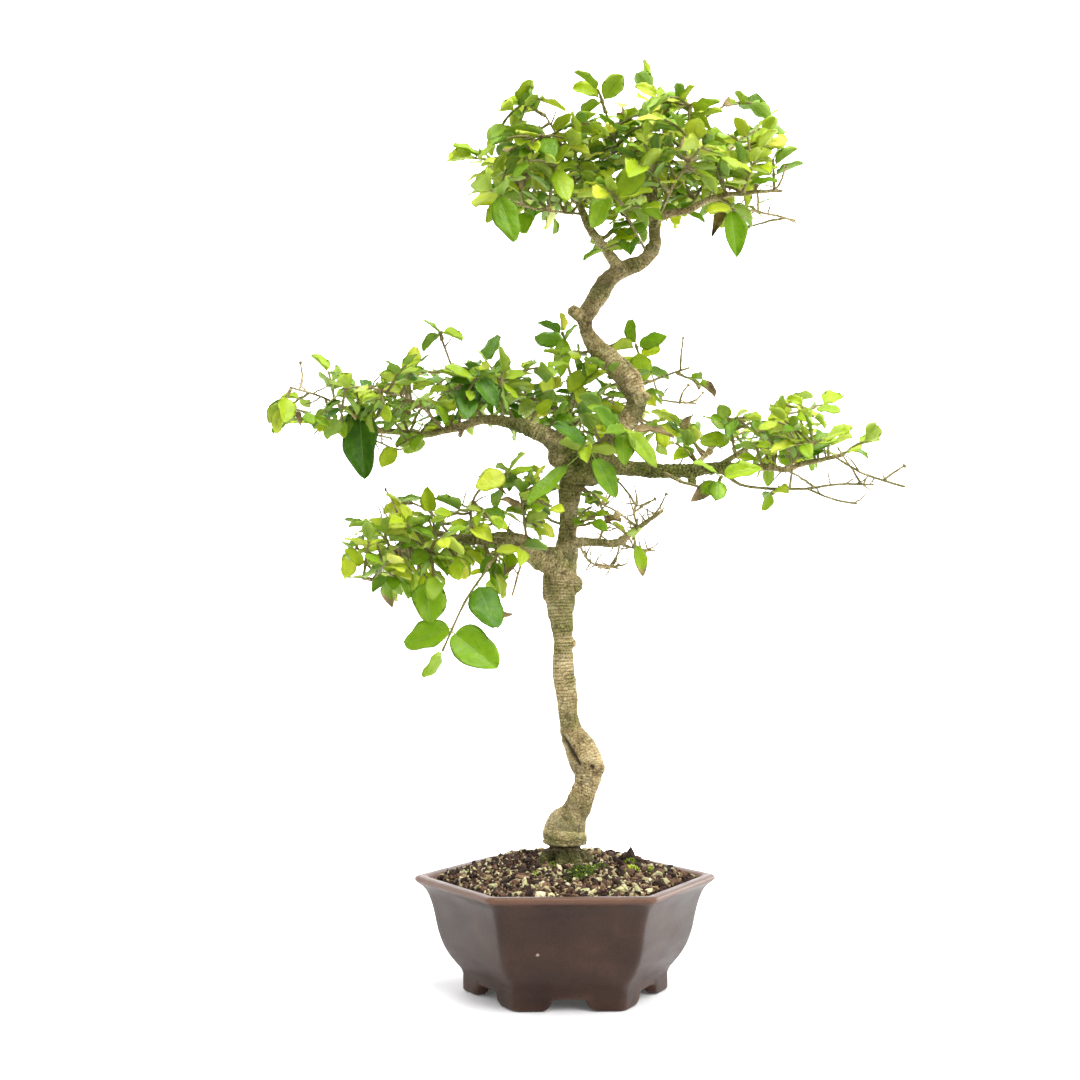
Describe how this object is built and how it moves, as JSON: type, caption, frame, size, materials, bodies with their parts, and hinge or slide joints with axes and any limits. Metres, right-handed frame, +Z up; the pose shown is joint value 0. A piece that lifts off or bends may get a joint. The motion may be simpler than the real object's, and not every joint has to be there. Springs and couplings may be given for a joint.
{
  "type": "california privet bonsai",
  "caption": "Small privet tree with a bent trunk and three tiers of leafy branches, growing in a hexagonal footed clay pot filled with soil and grit.",
  "frame": {"origin": "centre of the whole outline seen from above, at the height of the surface the pot stands on", "axes": "+Z up along the tree's height, X along the long way of the branches with the pot's corners left and right, the pictured side faces -Y"},
  "size_m": [0.4086, 0.1886, 0.6417],
  "materials": {
    "fired_clay": "satin",
    "screen_plastic": "matte",
    "soil_and_grit": "matte",
    "privet_bark": "matte",
    "privet_leaf": "satin"
  },
  "bodies": {
    "root": {"pot": "fired_clay", "drain_screen": "screen_plastic", "soil": "soil_and_grit", "wood": "privet_bark", "spray_crown_west": "privet_leaf", "spray_crown_west_up": "privet_leaf", "spray_crown_west_mid": "privet_leaf", "spray_crown_west_low": "privet_leaf", "spray_crown_west_front": "privet_leaf", "spray_crown_top_left": "privet_leaf", "spray_crown_top_right": "privet_leaf", "spray_crown_top_front": "privet_leaf", "spray_crown_tip": "privet_leaf", "spray_crown_east_up": "privet_leaf", "spray_crown_east_mid": "privet_leaf", "spray_crown_east_low": "privet_leaf", "spray_crown_east_hang": "privet_leaf", "spray_crown_back": "privet_leaf", "spray_crown_back_right": "privet_leaf", "spray_crown_back_left": "privet_leaf", "spray_crown_front": "privet_leaf", "spray_crown_front_mid": "privet_leaf", "spray_crown_inner": "privet_leaf", "spray_crown_inner_low": "privet_leaf", "spray_left_far": "privet_leaf", "spray_left_far_up": "privet_leaf", "spray_left_front": "privet_leaf", "spray_left_shoot": "privet_leaf", "spray_left_shoot_low": "privet_leaf", "spray_left_back": "privet_leaf", "spray_left_back_mid": "privet_leaf", "spray_left_back_low": "privet_leaf", "spray_left_tip": "privet_leaf", "spray_left_under": "privet_leaf", "spray_left_inner": "privet_leaf", "spray_middle_up": "privet_leaf", "spray_middle_left": "privet_leaf", "spray_middle_right": "privet_leaf", "spray_middle_right_tip": "privet_leaf", "spray_front_shoot": "privet_leaf", "spray_fork_shoot": "privet_leaf", "spray_right_tip": "privet_leaf", "spray_right_outer": "privet_leaf", "spray_right_up": "privet_leaf", "spray_right_up_mid": "privet_leaf", "spray_right_inner": "privet_leaf", "spray_right_back": "privet_leaf", "spray_right_front": "privet_leaf", "spray_right_under": "privet_leaf", "spray_low_up": "privet_leaf", "spray_low_up_left": "privet_leaf", "spray_low_tip": "privet_leaf", "spray_low_back": "privet_leaf", "spray_low_front": "privet_leaf", "spray_low_mid": "privet_leaf", "spray_low_inner": "privet_leaf", "spray_low_hang_tip": "privet_leaf", "spray_low_front_hang": "privet_leaf", "spray_low_right_leaf": "privet_leaf"}
  },
  "joints": []
}
